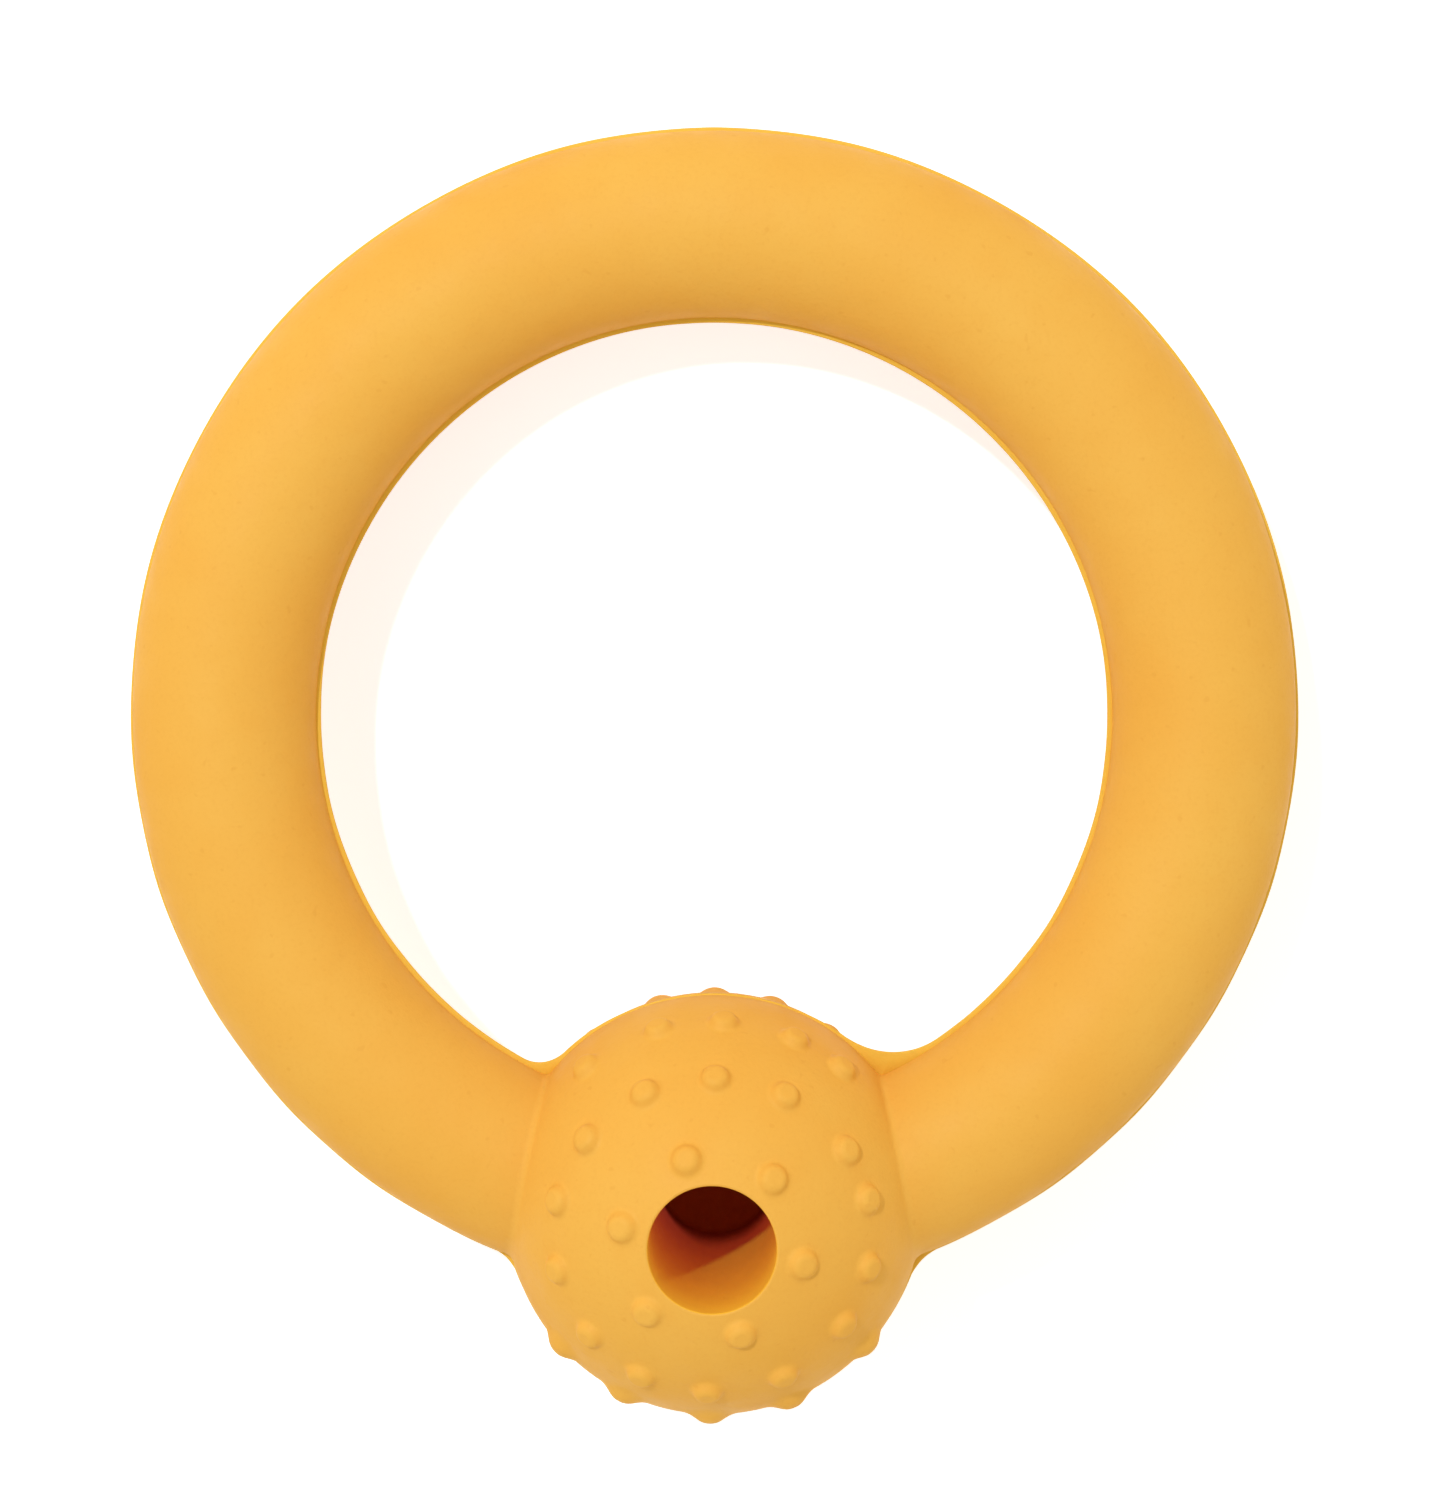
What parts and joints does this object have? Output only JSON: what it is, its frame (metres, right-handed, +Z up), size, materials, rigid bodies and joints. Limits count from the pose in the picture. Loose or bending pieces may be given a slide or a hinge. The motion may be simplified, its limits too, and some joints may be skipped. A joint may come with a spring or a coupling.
{
  "type": "rubber chew toy",
  "caption": "Solid rubber ring with a larger nubbed ball in its bar; the ball has a blind, round-ended treat bore.",
  "frame": {"origin": "on the floor, below the middle of the toy's length and width as it lies", "axes": "+Z up from the floor; -Y towards the ball, +Y along the ring's length to its far bar; +X across the ring"},
  "size_m": [0.1602, 0.1756, 0.058],
  "materials": {
    "natural_rubber": "satin, slightly translucent natural rubber"
  },
  "bodies": {
    "root": {"ring_front_half": "natural_rubber", "ring_rear_half": "natural_rubber", "ball_front_half": "natural_rubber", "ball_rear_half": "natural_rubber", "nubs_front": "natural_rubber", "nubs_rear": "natural_rubber", "outer_parting_bead": "natural_rubber", "inner_parting_bead": "natural_rubber"}
  },
  "joints": []
}
